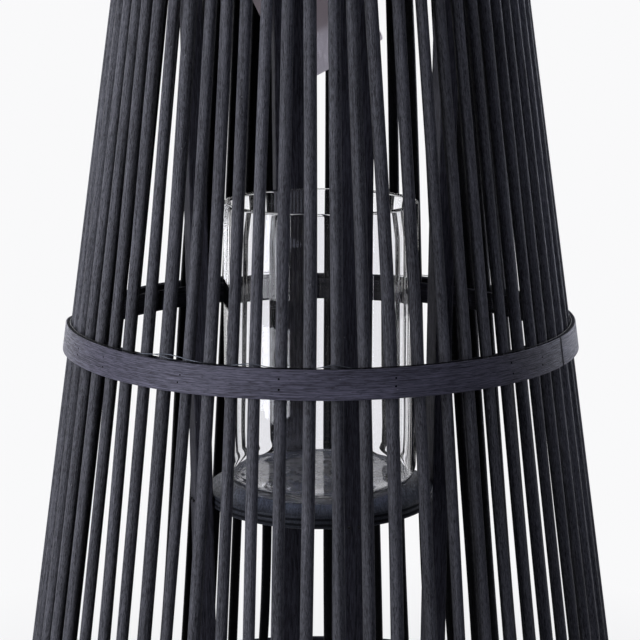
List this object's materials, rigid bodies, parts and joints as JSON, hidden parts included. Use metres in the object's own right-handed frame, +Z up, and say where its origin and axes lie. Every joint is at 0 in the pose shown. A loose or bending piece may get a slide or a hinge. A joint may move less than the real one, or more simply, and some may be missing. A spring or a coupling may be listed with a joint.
{
  "type": "slatted bamboo candle lantern",
  "caption": "Tapered floor lantern of round black-stained bamboo sticks between flat hoops, with a clear glass cylinder on an inner shelf.",
  "frame": {"origin": "on the ground, under the middle of the cage", "axes": "+Z up along the cage's middle, -Y to the front"},
  "size_m": [0.3986, 0.3986, 0.7],
  "materials": {
    "stained_bamboo_stick": "matt charcoal stain over round bamboo sticks with fine lengthwise grain",
    "stained_bamboo_hoop": "matt charcoal stain over flat split bamboo strip with fine lengthwise grain",
    "stained_bamboo_leg": "matt charcoal stain over flat bamboo slat",
    "stained_plywood": "matt charcoal stain, layered plies at the edge",
    "clear_glass": "clear blown glass with a thick rounded base",
    "dark_steel": "small darkened steel nails",
    "grey_wire": "thin plain steel binding wire",
    "grey_card": "plain uncoated card, unprinted"
  },
  "bodies": {
    "frame": {"stick_pair_01": "stained_bamboo_stick", "stick_pair_02": "stained_bamboo_stick", "stick_pair_03": "stained_bamboo_stick", "stick_pair_04": "stained_bamboo_stick", "stick_pair_05": "stained_bamboo_stick", "stick_pair_06": "stained_bamboo_stick", "stick_pair_07": "stained_bamboo_stick", "stick_pair_08": "stained_bamboo_stick", "stick_pair_09": "stained_bamboo_stick", "stick_pair_10": "stained_bamboo_stick", "stick_pair_11": "stained_bamboo_stick", "stick_pair_12": "stained_bamboo_stick", "stick_pair_13": "stained_bamboo_stick", "stick_pair_14": "stained_bamboo_stick", "stick_pair_15": "stained_bamboo_stick", "stick_pair_16": "stained_bamboo_stick", "stick_pair_17": "stained_bamboo_stick", "stick_pair_18": "stained_bamboo_stick", "stick_pair_19": "stained_bamboo_stick", "stick_pair_20": "stained_bamboo_stick", "stick_pair_21": "stained_bamboo_stick", "stick_pair_22": "stained_bamboo_stick", "stick_pair_23": "stained_bamboo_stick", "stick_pair_24": "stained_bamboo_stick", "stick_pair_25": "stained_bamboo_stick", "stick_pair_26": "stained_bamboo_stick", "stick_pair_27": "stained_bamboo_stick", "stick_pair_28": "stained_bamboo_stick", "stick_pair_29": "stained_bamboo_stick", "stick_pair_30": "stained_bamboo_stick", "stick_pair_31": "stained_bamboo_stick", "stick_pair_32": "stained_bamboo_stick", "outer_hoop_bottom": "stained_bamboo_hoop", "inner_hoop_bottom": "stained_bamboo_hoop", "outer_hoop_middle": "stained_bamboo_hoop", "inner_hoop_middle": "stained_bamboo_hoop", "outer_hoop_top": "stained_bamboo_hoop", "inner_hoop_top": "stained_bamboo_hoop", "binding_wire": "grey_wire", "leg_front": "stained_bamboo_leg", "leg_right": "stained_bamboo_leg", "leg_back": "stained_bamboo_leg", "leg_left": "stained_bamboo_leg", "shelf": "stained_plywood", "shelf_nail_front_1": "dark_steel", "shelf_nail_front_2": "dark_steel", "shelf_nail_right_1": "dark_steel", "shelf_nail_right_2": "dark_steel", "shelf_nail_back_1": "dark_steel", "shelf_nail_back_2": "dark_steel", "shelf_nail_left_1": "dark_steel", "shelf_nail_left_2": "dark_steel", "hoop_nail_front": "dark_steel", "hoop_nail_right": "dark_steel", "hoop_nail_back": "dark_steel", "hoop_nail_left": "dark_steel", "tag_pin": "dark_steel"},
    "glass": {"glass_cylinder": "clear_glass"},
    "tag": {"swing_tag": "grey_card"}
  },
  "joints": [
    {"name": "glass_lift", "type": "slide", "parent": "frame", "child": "glass", "axis": [0, 0, 1], "range_m": [0, 0.52]},
    {"name": "tag_swing", "type": "hinge", "parent": "frame", "child": "tag", "pos_m": [-0.01303, 0.08531, 0.565], "axis": [-0.2419, 0.9703, 0], "range_deg": [-6, 40]}
  ]
}
